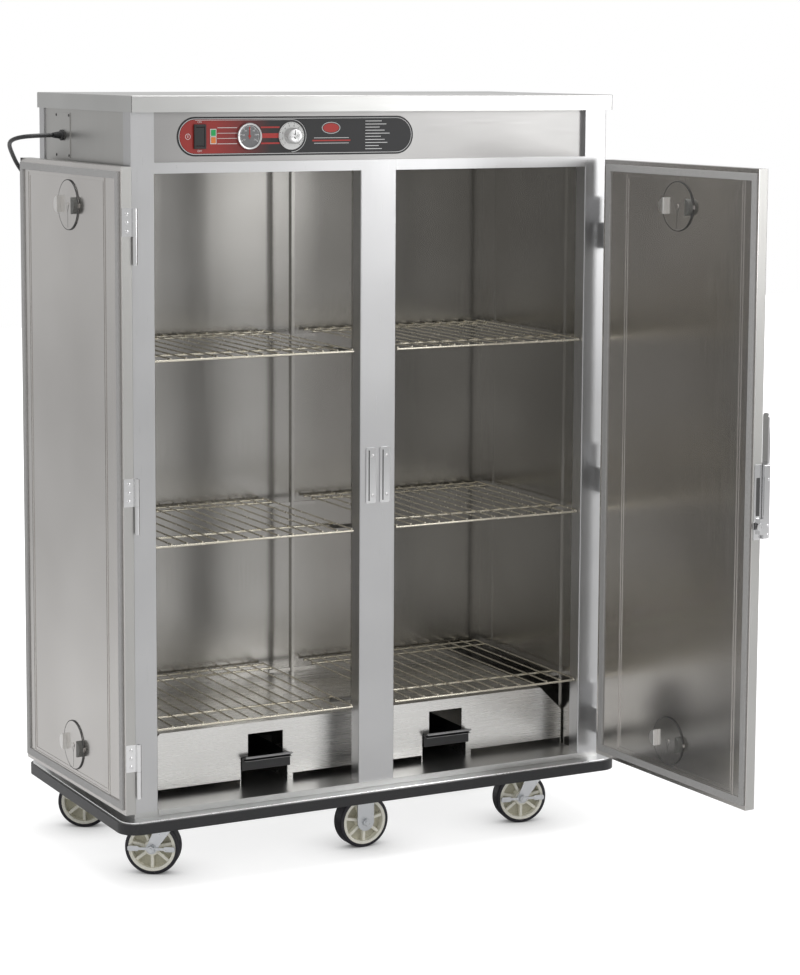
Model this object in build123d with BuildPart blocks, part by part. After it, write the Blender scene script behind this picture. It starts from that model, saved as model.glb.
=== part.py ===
from build123d import *
from math import radians, tan, pi
import os

# Heated banquet cabinet on six casters, in millimetres.
# Working frame: X from the left post's outer face to the right, Y from the
# posts' front faces towards the back, Z up from the floor.

# Cabinet body
width = 1220.0
depth = 560.0
base_bottom = 152.0
base_top = 176.0
base_rail = 60.0
sheet = 2.0
floor_top = base_top + sheet
body_top = 1742.0
wall = 38.0
liner_sheet = 1.5
post_face = 57.0
post_depth = 38.0
post_wall = 2.0
post_round = 2.5
centre_post = 92.0
fascia_height = 110.0
header_height = 24.0
header_top = body_top - fascia_height
header_bottom = header_top - header_height
back_post_face = 30.0
panel_step = 3.0
apron_drop = 12.0

# Top deck
lip_height = 36.0
lip_front = 20.0
lip_side = 3.0
lip_back = 6.0
deck_flange = 26.0
deck_round = 2.0

# Bumper
bumper_out = 34.0
bumper_insert_depth = 6.0
bumper_low = 137.0
bumper_high = 164.0
bumper_edge = 3.0
bumper_round = 38.0

# Control fascia and what it carries
fascia_recess = 14.0
fascia_sheet = 1.5
label_sheet = 1.0
label_left = 117.0
label_right = 705.0
control_drop = 54.5
control_z = body_top - control_drop
label_height = 87.0
rocker_x = 171.0
rocker_width = 22.0
rocker_height = 48.0
rocker_depth = 16.0
rocker_proud = 3.5
rocker_end_gap = 3.0
rocker_edge = 1.5
rocker_bore = 1.5
light_x = 203.5
light_width = 15.0
light_height = 17.0
light_proud = 2.0
dial_x = 291.0
dial_radius = 29.0
dial_proud = 6.0
dial_flange = 3.0
window_inset = 4.0
needle_half = 1.0
needle_tail = 6.0
needle_tip_gap = 8.0
needle_hub = 3.0
knob_x = 394.6
skirt_radius = 31.0
skirt_thick = 3.0
grip_radius = 16.0
grip_height = 20.0
grip_edge = 2.0
shaft_length = 20.0
knob_shaft_radius = 3.0
shaft_gap = 0.05
run_gap = 0.3

# Doors, hinges and latches
pin_out = 3.5
pin_front = 35.0
pin_radius = 3.0
barrel_radius = 6.0
door_edge = 4.0
door_meet = 27.0
door_width = width / 2 - door_meet
door_bottom = 184.0
door_lap = 17.5
door_top = header_bottom + door_lap
door_thick = 26.0
door_gap = 4.0
door_skin = 2.0
door_round = 2.0
liner_thick = 1.5
bead_high = 1.2
bead_width = 4.0
bead_pitch = 8.0
bead_hinge_inset = 86.0
bead_free_inset = 48.0
bead_end_inset = 26.5
gasket_width = 16.0
gasket_inset = 10.0
gasket_free_inset = 5.0
gasket_thick = door_gap - run_gap
hinge_length = 124.0
hinge_low_inset = 98.0
hinge_middle = 880.0
hinge_high_inset = 151.5
hinge_centres = (door_bottom + hinge_low_inset, hinge_middle, door_top - hinge_high_inset)
leaf_thick = 2.4
leaf_edge = 1.0
leaf_lap = 2.0
leaf_seat = 0.02
knuckle_neck = 5.0
post_leaf_back = 30.0
post_neck = 6.0
post_leaf_front = 4.0
left_open = 268.3
right_open = 93.0
vent_radius = 57.0
vent_inset = 96.0
vent_thick = 2.5
vent_pin_radius = 5.0
dimple_radius = 9.0
dimple_inset = 7.0
latch_centre = 888.0
latch_height = 168.0
latch_width = 46.0
latch_over = 10.0
latch_proud = 22.0
latch_step = 4.0
latch_round = 3.0
latch_nose_depth = 10.0
latch_nose_low = 10.0
latch_nose_high = 46.0
pivot_drop = 16.0
lever_length = 128.0
lever_width = 20.0
lever_pivot_radius = 5.0
lever_face_gap = 0.2
lever_heel = 18.0
lever_corner = 8.0
strike_width = 27.0
strike_height = 130.0
strike_thick = 3.0
strike_offset = 18.0
strike_corner = 4.0
strike_trim = 1.0
strike_centre = 904.0

# Inside the bays
shelf_heights = (358.0, 775.0, 1193.0)
shelf_front = 14.0
shelf_back_gap = 14.0
frame_wire = 6.0
shelf_wire = 4.0
wires_per_shelf = 14
shelf_side_gap = 2.0
wire_sink = 1.0
standard_width = 16.0
standard_thick = 4.0
clip_size = 8.0
clip_gap = 0.2
clip_reach = 17.0
clip_seat = 0.02
standard_rows = (120.0, 460.0)
cover_front = 100.0
cover_bottom = 193.0
cover_top = 325.0
cover_chamfer = 60.0
notch_offset = 240.0
notch_upper_width = 90.0
notch_lower_width = 126.0
notch_step = 245.0
notch_top = 299.0
tray_length = 250.0
tray_height = 30.0
tray_wall = 1.5
tray_clear = 2.0
tray_nose = 6.0
tray_lip_out = 14.0
tray_lip_rise = 4.0
tray_lip_thick = 2.0
tray_lip_root = 3.0
runner_width = 8.0
runner_foot = 6.0
runner_top = 214.0
element_radius = 4.0
element_loop = 70.0
stand_inset = 30.0
stand_over = 8.0
stand_thick = 4.0

# Casters
wheel_radius = 63.5
tyre_inner = 55.0
tyre_width = 40.0
hub_width = 44.0
hub_boss = 14.0
hub_web = 8.0
hub_rim = 7.0
rim_step = 1.0
tyre_round = 5.0
axle_radius = 5.0
caster_inset_x = 125.0
caster_inset_y = 78.0
caster_inset_back = 52.0
caster_lead = 45.0
plate_length = 100.0
plate_thick = 5.0
race_radius = 32.0
race_height = 9.0
kingpin_radius = 6.0
leg_thick = 4.0
leg_gap = 0.3
leg_lap = 2.0
kingpin_rise = 4.0
stub_length = 6.0
fork_width_top = 50.0
fork_width_low = 26.0
rigid_leg_width = 43.0
brake_length = 84.0
brake_width = 12.0
brake_thick = 3.0
brake_hub = 11.0
wing_length = 26.0
wing_round = 4.0

# Power lead
cord_diameter = 10.0
relief_y = 412.0
relief_drop = 60.5
relief_z = body_top - relief_drop
plate_width = 92.0
plate_height = 104.0
plate_sheet = 1.5
flange_height = 8.0
neck_share = 0.75
relief_radius = 11.0
relief_length = 26.0
coil_centre = (330.0, 700.0)
coil_mean = 110.0
coil_round = 4.0
plug_sink = 1.0
plug_length = 52.0
plug_radius = 17.0
prong_spacing = 12.7
prong_thick = 1.6
prong_length = 18.0
prong_height = 6.0
plug_flat_share = 0.9
cord_clear = 18.0
bend_share = 0.45

plate_low = base_bottom - plate_thick
race_top = plate_low - run_gap
bay_left = (post_face, width / 2 - centre_post / 2)
bay_right = (width / 2 + centre_post / 2, width - post_face)
inner_left = wall + liner_sheet
inner_right = width - wall - liner_sheet
inner_back = depth - wall - liner_sheet
door_front = -door_gap - door_thick
fascia_face = fascia_recess
label_face = fascia_recess - label_sheet
pin_y = -pin_front
left_pin = (-pin_out, pin_y)
right_pin = (width + pin_out, pin_y)
pieces = {}


def slab(x0, x1, y0, y1, z0, z1, mode=Mode.ADD):
    # A block between two corners, in the open builder.
    with Locations(((x0 + x1) / 2, (y0 + y1) / 2, (z0 + z1) / 2)):
        return Box(x1 - x0, y1 - y0, z1 - z0, mode=mode)


def rod(x, y, z, radius, length, turn=(0, 0, 0), mode=Mode.ADD):
    # A round bar centred on a point; turn gives its direction.
    with Locations(Location((x, y, z), turn)):
        return Cylinder(radius, length, mode=mode)


def along_x(x, y, z, radius, length, mode=Mode.ADD):
    return rod(x, y, z, radius, length, (0, 90, 0), mode)


def along_y(x, y, z, radius, length, mode=Mode.ADD):
    return rod(x, y, z, radius, length, (90, 0, 0), mode)


def block(x0, x1, y0, y1, z0, z1):
    # The same block as a solid of its own.
    with BuildPart() as single:
        slab(x0, x1, y0, y1, z0, z1)
    return single.part.solid()


def keep(part, label):
    part.label = label
    pieces[label] = part


# Base frame: welded rails on edge with a rail over each pair of casters
caster_columns = (caster_inset_x, width / 2, width - caster_inset_x)
with BuildPart() as base_frame:
    slab(0, width, 0, depth, base_bottom, base_top)
    for left, right in zip(caster_columns, caster_columns[1:]):
        low = left + base_rail
        high = right - base_rail
        slab(low, high, base_rail, depth - base_rail, base_bottom, base_top, Mode.SUBTRACT)
keep(base_frame.part, "base_frame")

# Floor pan with its apron turned down in front of the base frame
with BuildPart() as floor_pan:
    slab(post_face, width - post_face, 0, post_depth, base_top, floor_top)
    slab(sheet, width - sheet, post_depth, depth - back_post_face, base_top, floor_top)
    slab(post_face, width - post_face, -sheet, 0, floor_top - apron_drop, floor_top)
keep(floor_pan.part, "floor_pan")


# Bumper: metal channel round the base with a vinyl insert in its outer face
def ring_sketch(outward, radius):
    with Locations((width / 2, depth / 2)):
        RectangleRounded(width + 2 * outward, depth + 2 * outward, radius)


with BuildPart() as bumper_channel:
    with BuildSketch(Plane.XY.offset(bumper_low)):
        ring_sketch(bumper_out, bumper_round)
    extrude(amount=bumper_high - bumper_low)
    slab(0, width, 0, depth, bumper_low, bumper_high, Mode.SUBTRACT)
keep(bumper_channel.part, "bumper_channel")

insert_out = bumper_out + bumper_insert_depth
with BuildPart() as bumper_insert:
    with BuildSketch(Plane.XY.offset(bumper_low)):
        ring_sketch(insert_out, bumper_round + bumper_insert_depth)
        with Locations((width / 2, depth / 2)):
            inner_width = width + 2 * bumper_out
            inner_depth = depth + 2 * bumper_out
            RectangleRounded(inner_width, inner_depth, bumper_round, mode=Mode.SUBTRACT)
    extrude(amount=bumper_high - bumper_low - bumper_edge)
keep(bumper_insert.part, "bumper_insert")

# Outer panels, recessed between the corner posts
panel_back = depth - back_post_face
with BuildPart() as side_panel_left:
    slab(panel_step, panel_step + sheet, post_depth, panel_back, floor_top, body_top)

with BuildPart() as side_panel_right:
    slab(width - panel_step - sheet, width - panel_step, post_depth, panel_back, floor_top, body_top)
keep(side_panel_right.part, "side_panel_right")

with BuildPart() as back_panel:
    slab(back_post_face, width - back_post_face, depth - panel_step - sheet, depth - panel_step,
         base_top, body_top)

# Back corner posts
with BuildPart() as back_posts:
    for x0 in (0, width - back_post_face):
        slab(x0, x0 + back_post_face, panel_back, depth, base_top, body_top)
keep(Compound(children=list(back_panel.part.solids()) + list(back_posts.part.solids())), "back_panel")

# Liner sheets of the heated space, and the insulation behind them
liner_top = header_bottom + liner_sheet
with BuildPart() as inner_liner:
    slab(wall, inner_left, post_depth, inner_back, floor_top, header_bottom)
    slab(inner_right, width - wall, post_depth, inner_back, floor_top, header_bottom)
    slab(wall, width - wall, inner_back, depth - wall, floor_top, header_bottom)
    slab(wall, width - wall, post_depth, depth - wall, header_bottom, liner_top)
keep(inner_liner.part, "inner_liner")

skin_inside = panel_step + sheet
with BuildPart() as wall_insulation:
    slab(skin_inside, wall, post_depth, panel_back, floor_top, header_bottom)
    slab(width - wall, width - skin_inside, post_depth, panel_back, floor_top, header_bottom)
    slab(wall, width - wall, depth - wall, depth - skin_inside, floor_top, header_bottom)
    slab(wall, width - wall, post_depth, depth - skin_inside, liner_top, header_top)
keep(wall_insulation.part, "wall_insulation")

# Front frame: two corner posts, the centre post and the header, welded
with BuildPart() as front_frame:
    for x0 in (0, width - post_face):
        slab(x0, x0 + post_face, 0, post_depth, base_top, body_top)
    with BuildSketch(Plane.XY.offset(floor_top)):
        with Locations((width / 2, post_depth / 2)):
            Rectangle(centre_post, post_depth)
    extrude(amount=header_bottom - floor_top)
    slab(post_face, width - post_face, 0, post_depth, header_bottom, header_top)
    upright = front_frame.edges().filter_by(Axis.Z).group_by(Axis.Y)[0]
    fillet([e for e in upright if e.length > header_bottom / 2], post_round)
    for x0 in (0, width - post_face):
        slab(x0 + post_wall, x0 + post_face - post_wall, post_wall, post_depth - post_wall,
             base_top + post_wall, body_top - post_wall, Mode.SUBTRACT)
    slab(bay_left[1] + post_wall, bay_right[0] - post_wall, post_wall, post_depth - post_wall,
         floor_top + post_wall, header_bottom, Mode.SUBTRACT)
keep(front_frame.part, "front_frame")

# Top deck: a folded box with a return flange that sits on the posts
deck_top = body_top + lip_height
with BuildPart() as top_deck:
    slab(-lip_side, width + lip_side, -lip_front, depth + lip_back, body_top, deck_top)
    fillet(top_deck.edges().group_by(Axis.Z)[-1], deck_round)
    slab(-lip_side + sheet, width + lip_side - sheet, -lip_front + sheet, depth + lip_back - sheet,
         body_top + sheet, deck_top - sheet, Mode.SUBTRACT)
    slab(deck_flange, width - deck_flange, post_depth, depth - deck_flange,
         body_top - sheet, body_top + 2 * sheet, Mode.SUBTRACT)
keep(top_deck.part, "top_deck")

# Control fascia with its cut-outs, and the overlay on it
def control_cuts(y0, y1):
    slab(rocker_x - rocker_width / 2, rocker_x + rocker_width / 2, y0, y1,
         control_z - rocker_height / 2, control_z + rocker_height / 2, Mode.SUBTRACT)
    for side in (-1, 1):
        z0 = control_z + side * light_height / 2
        slab(light_x - light_width / 2, light_x + light_width / 2, y0, y1,
             z0 - light_height / 2, z0 + light_height / 2, Mode.SUBTRACT)
    along_y(dial_x, (y0 + y1) / 2, control_z, dial_radius - dial_flange, y1 - y0,
            Mode.SUBTRACT)
    along_y(knob_x, (y0 + y1) / 2, control_z, knob_shaft_radius + shaft_gap, y1 - y0, Mode.SUBTRACT)


with BuildPart() as control_fascia:
    slab(post_face, width - post_face, fascia_face, fascia_face + fascia_sheet, header_top, body_top)
    control_cuts(fascia_face - sheet, fascia_face + fascia_sheet + sheet)
keep(control_fascia.part, "control_fascia")

with BuildPart() as label_plate:
    with BuildSketch(Plane.XZ.offset(-fascia_face)):
        with Locations(((label_left + label_right) / 2, control_z)):
            SlotOverall(label_right - label_left, label_height)
    extrude(amount=label_sheet)
    control_cuts(label_face - sheet, fascia_face)
keep(label_plate.part, "label_plate")

# Rocker switch with the bore of its cross pin
rocker_wide = rocker_width - 2 * run_gap
rocker_tall = rocker_height - 2 * rocker_end_gap
with BuildPart() as rocker_switch:
    slab(rocker_x - rocker_wide / 2, rocker_x + rocker_wide / 2, label_face - rocker_proud,
         label_face + rocker_depth / 2, control_z - rocker_tall / 2, control_z + rocker_tall / 2)
    fillet(rocker_switch.edges().filter_by(Axis.X), rocker_edge)
    along_x(rocker_x, fascia_face, control_z, rocker_bore, rocker_width, Mode.SUBTRACT)
keep(rocker_switch.part, "rocker_switch")

# Two indicator lenses, green over amber
lens_gap = 0.2
with BuildPart() as indicator_lights:
    for side in (-1, 1):
        z0 = control_z + side * light_height / 2
        slab(light_x - light_width / 2 + lens_gap, light_x + light_width / 2 - lens_gap,
             label_face - light_proud, fascia_face + fascia_sheet + sheet,
             z0 - light_height / 2 + lens_gap, z0 + light_height / 2 - lens_gap)
keep(indicator_lights.part, "indicator_lights")

# Dial thermometer: flanged case with the dial and its window
case_depth = 14.0
with BuildPart() as thermometer:
    along_y(dial_x, label_face - dial_proud / 2, control_z, dial_radius, dial_proud)
    along_y(dial_x, label_face + case_depth / 2, control_z,
            dial_radius - dial_flange - lens_gap, case_depth)
    face_depth = 3.0
    along_y(dial_x, label_face - dial_proud + face_depth / 2, control_z, dial_radius - window_inset,
            face_depth, Mode.SUBTRACT)
keep(thermometer.part, "thermometer")

needle_thick = 0.8
with BuildPart() as thermometer_needle:
    needle_y = label_face - dial_proud + face_depth - needle_thick
    slab(dial_x - needle_half, dial_x + needle_half, needle_y - needle_thick / 2,
         needle_y + needle_thick / 2, control_z - needle_tail, control_z + dial_radius - needle_tip_gap)
    along_y(dial_x, needle_y, control_z, needle_hub, needle_thick)
keep(thermometer_needle.part, "thermometer_needle")

# Thermostat: graduated skirt and grip in one moulding on a shaft
with BuildPart() as thermostat_knob:
    skirt_back = label_face - run_gap
    along_y(knob_x, skirt_back - skirt_thick / 2, control_z, skirt_radius, skirt_thick)
    along_y(knob_x, skirt_back - skirt_thick - grip_height / 2, control_z, grip_radius, grip_height)
    fillet(thermostat_knob.faces().sort_by(Axis.Y)[0].edges(), grip_edge)
    along_y(knob_x, skirt_back + shaft_length / 2, control_z, knob_shaft_radius, shaft_length)
keep(thermostat_knob.part, "thermostat_knob")

body_size = 40.0
with BuildPart() as thermostat_body:
    y0 = fascia_face + fascia_sheet
    slab(knob_x - body_size / 2, knob_x + body_size / 2, y0, y0 + body_size,
         control_z - body_size / 2, control_z + body_size / 2)
    along_y(knob_x, y0 + shaft_length / 2, control_z, knob_shaft_radius + shaft_gap, shaft_length,
            Mode.SUBTRACT)
keep(thermostat_body.part, "thermostat_body")

# Wire shelves: front, back and two cross wires under the long wires
shelf_back = inner_back - shelf_back_gap


def wire_shelves(bay, outer_is_left):
    side_clear = standard_thick + frame_wire
    x0 = bay[0] + (shelf_side_gap if outer_is_left else side_clear)
    x1 = bay[1] - (side_clear if outer_is_left else shelf_side_gap)
    with BuildPart() as shelves:
        for height in shelf_heights:
            for y in (shelf_front, *standard_rows, shelf_back):
                along_x((x0 + x1) / 2, y, height, frame_wire / 2, x1 - x0)
            pitch = (x1 - x0 - frame_wire) / (wires_per_shelf - 1)
            wire_z = height + frame_wire / 2 + shelf_wire / 2 - wire_sink
            for i in range(wires_per_shelf):
                x = x0 + frame_wire / 2 + i * pitch
                along_y(x, (shelf_front + shelf_back) / 2, wire_z, shelf_wire / 2, shelf_back - shelf_front)
    return shelves.part


keep(wire_shelves((bay_left[0], bay_left[1]), True), "left_shelves")
keep(wire_shelves((bay_right[0], bay_right[1]), False), "right_shelves")

# Slotted standards on the side walls and behind the centre post, with clips
# under every shelf
clip_top_drop = frame_wire / 2 + clip_gap


standard_solids = []


def add_clips(x0, x1, y):
    for height in shelf_heights:
        top = height - clip_top_drop
        standard_solids.append(block(x0 + clip_seat, x1 - clip_seat, y - clip_size / 2, y + clip_size / 2,
                                     top - clip_size, top))


side_standard_left = inner_left + standard_thick
side_standard_right = inner_right - standard_thick
middle_left = width / 2 - standard_thick
middle_right = width / 2 + standard_thick
for y in standard_rows:
    front = y - standard_width / 2
    back = y + standard_width / 2
    standard_solids.append(block(inner_left, side_standard_left, front, back, floor_top, header_bottom))
    standard_solids.append(block(side_standard_right, inner_right, front, back, floor_top, header_bottom))
    standard_solids.append(block(middle_left, middle_right, front, back, cover_top, header_bottom))
    add_clips(side_standard_left, bay_left[0] + clip_reach, y)
    add_clips(bay_left[1] - clip_reach, middle_left, y)
    add_clips(middle_right, bay_right[0] + clip_reach, y)
    add_clips(bay_right[1] - clip_reach, side_standard_right, y)
keep(Compound(children=standard_solids), "shelf_standards")

# Heater cover: folded sheet over the elements, notched for the two trays
cover_left = inner_left + standard_thick + run_gap
cover_right = width - cover_left
with BuildPart() as heater_cover:
    slab(cover_left, cover_right, cover_front, cover_front + liner_sheet, cover_bottom, cover_top)
    slab(cover_left, cover_right, cover_front, inner_back, cover_top - liner_sheet, cover_top)
    for side in (-1, 1):
        with BuildSketch(Plane.XZ.offset(-cover_front + liner_sheet)):
            corner_x = cover_left if side < 0 else cover_right
            with BuildLine():
                Polyline((corner_x, cover_top), (corner_x - side * cover_chamfer, cover_top),
                         (corner_x, cover_top - cover_chamfer), close=True)
            make_face()
        extrude(amount=-depth, mode=Mode.SUBTRACT)
        x = width / 2 + side * notch_offset
        half_low = notch_lower_width / 2
        half_high = notch_upper_width / 2
        slab(x - half_low, x + half_low, cover_front - sheet, cover_front + sheet,
             cover_bottom - sheet, notch_step, Mode.SUBTRACT)
        slab(x - half_high, x + half_high, cover_front - sheet, cover_front + sheet,
             notch_step - sheet, notch_top, Mode.SUBTRACT)
        for end in (-1, 1):
            runner = x + end * (half_low + runner_width / 2)
            slab(runner - runner_width / 2 - end * runner_foot, runner + runner_width / 2, cover_front,
                 cover_front + tray_length, floor_top, runner_top)
    cheek = liner_sheet
    for x0 in (cover_left, cover_right - cheek):
        slab(x0, x0 + cheek, cover_front, inner_back, floor_top, cover_top - cover_chamfer)
keep(heater_cover.part, "heater_cover")


# Humidity trays that slide out of the notches on the runners
def tray(side):
    x = width / 2 + side * notch_offset
    half = notch_lower_width / 2 - tray_clear
    low = runner_top + run_gap
    y0 = cover_front - tray_nose
    rim = low + tray_height
    y1 = cover_front + tray_length - tray_clear
    with BuildPart() as pan:
        slab(x - half, x + half, y0, y1, low, low + tray_height)
        slab(x - half + tray_wall, x + half - tray_wall, y0 + tray_wall, y1 - tray_wall,
             low + tray_wall, low + tray_height, Mode.SUBTRACT)
        with BuildSketch(Plane.YZ.offset(x - half)):
            with BuildLine():
                lip_y = y0 - tray_lip_out
                lip_z = rim + tray_lip_rise
                Polyline((y0, rim - 2 * tray_lip_root), (lip_y, lip_z - tray_lip_thick),
                         (lip_y, lip_z), (y0, rim - tray_lip_root), close=True)
            make_face()
        extrude(amount=2 * half)
    return pan.part


keep(tray(-1), "tray_left")
keep(tray(1), "tray_right")

# Tubular heating element between the trays, on two stands
element_z = 240.0
element_front = 160.0
element_back = 440.0
with BuildPart() as heating_elements:
    for side in (-1, 1):
        along_y(width / 2 + side * element_loop, (element_front + element_back) / 2, element_z,
                element_radius, element_back - element_front)
    along_x(width / 2, element_front, element_z, element_radius, 2 * element_loop + 2 * element_radius)
    stand_half = element_loop + stand_over
    for y in (element_front + stand_inset, element_back - stand_inset):
        slab(width / 2 - stand_half, width / 2 + stand_half, y - stand_thick / 2, y + stand_thick / 2,
             floor_top, element_z)
keep(heating_elements.part, "heating_elements")


# Doors are drawn shut on the left side, then turned or mirrored into place
door_x0 = -pin_out + door_edge
door_x1 = door_x0 + door_width
liner_face = -door_gap
with BuildPart() as door_shell:
    slab(door_x0, door_x1, door_front, liner_face - liner_thick, door_bottom, door_top)
    upright = door_shell.edges().filter_by(Axis.Z).group_by(Axis.Y)[0]
    fillet(upright, door_round)
    slab(door_x0 + door_skin, door_x1 - door_skin, door_front + door_skin, liner_face - liner_thick,
         door_bottom + door_skin, door_top - door_skin, Mode.SUBTRACT)

with BuildPart() as door_liner:
    slab(door_x0, door_x1, liner_face - liner_thick, liner_face, door_bottom, door_top)
    for step in range(2):
        grow = step * bead_pitch
        x0 = door_x0 + bead_hinge_inset + grow
        x1 = door_x1 - bead_free_inset - grow
        z0 = door_bottom + bead_end_inset + grow
        z1 = door_top - bead_end_inset - grow
        bead_face = liner_face + bead_high
        slab(x0, x0 + bead_width, liner_face, bead_face, z0, z1)
        slab(x1 - bead_width, x1, liner_face, bead_face, z0, z1)
        slab(x0, x1, liner_face, bead_face, z0, z0 + bead_width)
        slab(x0, x1, liner_face, bead_face, z1 - bead_width, z1)

with BuildPart() as door_gasket:
    gasket_x1 = door_x1 - gasket_free_inset
    slab(door_x0 + gasket_inset, gasket_x1, liner_face, liner_face + gasket_thick,
         door_bottom + gasket_inset, door_top - gasket_inset)
    slab(door_x0 + gasket_inset + gasket_width, gasket_x1 - gasket_width, liner_face - sheet,
         liner_face + gasket_thick + sheet, door_bottom + gasket_inset + gasket_width,
         door_top - gasket_inset - gasket_width, Mode.SUBTRACT)

vent_x = (door_x0 + door_x1) / 2


def vent_disc(z):
    # Turning vent disc with two finger dimples, held to the liner by a rivet.
    with BuildPart() as disc:
        y = liner_face + run_gap + vent_thick / 2
        along_y(vent_x, y, z, vent_radius, vent_thick)
        for side in (-1, 1):
            with Locations((vent_x + side * (vent_radius - dimple_inset), y + vent_thick, z)):
                Sphere(dimple_radius)
        slab(vent_x - 2 * vent_radius, vent_x + 2 * vent_radius, liner_face - 2 * dimple_radius,
             liner_face + run_gap, z - vent_radius, z + vent_radius, Mode.SUBTRACT)
        along_y(vent_x, y + vent_thick / 2, z, vent_pin_radius, vent_thick)
    return disc.part


hinge_half = hinge_length / 2
with BuildPart() as door_hinges:
    for z in hinge_centres:
        slab(door_x0 - leaf_thick, door_x0, door_front, liner_face - leaf_edge, z + run_gap, z + hinge_half)
        slab(-pin_out, door_x0, door_front - knuckle_neck, door_front + leaf_lap, z + run_gap, z + hinge_half)
        rod(-pin_out, pin_y, z + (run_gap + hinge_half) / 2, barrel_radius, hinge_half - run_gap)
        rod(-pin_out, pin_y, z + (run_gap + hinge_half) / 2, pin_radius + shaft_gap,
            hinge_half - run_gap, mode=Mode.SUBTRACT)
        slab(door_x0 + leaf_seat, door_x0 + 2 * barrel_radius, door_front - 2 * barrel_radius, liner_face,
             z, z + hinge_half, Mode.SUBTRACT)

with BuildPart() as post_hinge:
    for z in hinge_centres:
        slab(-leaf_thick, 0, pin_y + post_leaf_front, post_leaf_back, z - hinge_half, z)
        slab(-pin_out, 0, pin_y, pin_y + post_neck, z - hinge_half, z)
        rod(-pin_out, pin_y, z - hinge_half / 2, barrel_radius, hinge_half)
        rod(-pin_out, pin_y, z, pin_radius, hinge_length - 2 * leaf_lap)

latch_x1 = door_x1 + latch_over
latch_x0 = latch_x1 - latch_width
latch_front = door_front - latch_proud
with BuildPart() as latch_body:
    z0 = latch_centre - latch_height / 2
    z1 = latch_centre + latch_height / 2
    slab(latch_x0, latch_x1, latch_front + latch_step, door_front, z0, z1)
    fillet(latch_body.edges().filter_by(Axis.Z).group_by(Axis.Y)[0], latch_step)
    fillet(latch_body.faces().sort_by(Axis.Y)[0].edges().filter_by(Axis.X), latch_round)
    slab(door_x1 + run_gap, latch_x1, door_front - latch_step, door_front + latch_nose_depth,
         z0 + latch_nose_low, z0 + latch_nose_high)
    pivot_x = (latch_x0 + latch_x1) / 2
    pivot_z = z1 - pivot_drop
    along_y(pivot_x, latch_front + latch_step, pivot_z, lever_pivot_radius - shaft_gap, 2 * latch_step)

with BuildPart() as latch_lever:
    y0 = latch_front + lever_face_gap
    y1 = latch_front + latch_step - run_gap
    slab(pivot_x - lever_width / 2, pivot_x + lever_width / 2, y0, y1,
         pivot_z - lever_heel, pivot_z + lever_length)
    fillet(latch_lever.edges().filter_by(Axis.Y), lever_corner)
    along_y(pivot_x, (y0 + y1) / 2, pivot_z, lever_pivot_radius, 3 * (y1 - y0), Mode.SUBTRACT)


def swing(part, side, open_angle):
    # Turns a shut left-hand piece about the pin, or mirrors it and turns it.
    if side == "left":
        axis = Axis((left_pin[0], left_pin[1], 0), (0, 0, 1))
        return part.rotate(axis, -open_angle)
    mirrored = part.mirror(Plane.YZ.offset(width / 2))
    axis = Axis((right_pin[0], right_pin[1], 0), (0, 0, 1))
    return mirrored.rotate(axis, open_angle)


for side, angle in (("left", left_open), ("right", right_open)):
    keep(swing(door_shell.part, side, angle), f"door_{side}_shell")
    keep(swing(door_liner.part, side, angle), f"door_{side}_liner")
    keep(swing(door_gasket.part, side, angle), f"door_{side}_gasket")
    keep(swing(door_hinges.part, side, angle), f"door_{side}_hinges")
    keep(swing(vent_disc(door_top - vent_inset), side, angle), f"vent_{side}_upper")
    keep(swing(vent_disc(door_bottom + vent_inset), side, angle), f"vent_{side}_lower")
    keep(swing(latch_body.part, side, angle), f"latch_{side}_body")
    keep(swing(latch_lever.part, side, angle), f"latch_{side}_lever")

with BuildPart() as latch_strikes:
    for side in (-1, 1):
        x = width / 2 + side * strike_offset
        slab(x - strike_width / 2 + strike_trim, x + strike_width / 2 - strike_trim, -strike_thick, 0,
             strike_centre - strike_height / 2, strike_centre + strike_height / 2)
    fillet(latch_strikes.edges().filter_by(Axis.Y), strike_corner)
right_hinge = post_hinge.part.mirror(Plane.YZ.offset(width / 2))
hardware = [post_hinge.part, right_hinge, latch_strikes.part]
keep(Compound(children=[solid for part in hardware for solid in part.solids()]), "frame_hardware")


# Casters
def caster_plate(x, y):
    slab(x - plate_length / 2, x + plate_length / 2, y - plate_length / 2, y + plate_length / 2,
         plate_low, base_bottom)


def fork_legs(top, top_x, top_width, low_width):
    # Two legs from the race down to the axle, drawn for a wheel at the lead.
    inner = hub_width / 2 + leg_gap
    with BuildPart() as legs:
        for low in (inner, -inner - leg_thick):
            with BuildSketch(Plane.XZ.offset(-low)):
                with BuildLine():
                    Polyline((top_x - top_width / 2, top), (top_x + top_width / 2, top),
                             (caster_lead + low_width / 2, wheel_radius),
                             (caster_lead - low_width / 2, wheel_radius), close=True)
                make_face()
                with Locations((caster_lead, wheel_radius)):
                    Circle(low_width / 2)
            extrude(amount=-leg_thick)
        along_y(caster_lead, 0, wheel_radius, axle_radius, 2 * inner + leg_thick)
    return legs.part


def swivel_fork(with_brake):
    race_low = race_top - race_height
    legs = fork_legs(race_low + leg_lap, 0, fork_width_top, fork_width_low)
    with BuildPart() as fork:
        rod(0, 0, race_top - race_height / 2, race_radius, race_height)
        rod(0, 0, race_top + kingpin_rise / 2, kingpin_radius, kingpin_rise)
        add(legs)
        if with_brake:
            stub = hub_width / 2 + leg_gap + leg_thick + brake_thick
            along_y(caster_lead, stub, wheel_radius, axle_radius, stub_length)
    return fork.part


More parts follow.
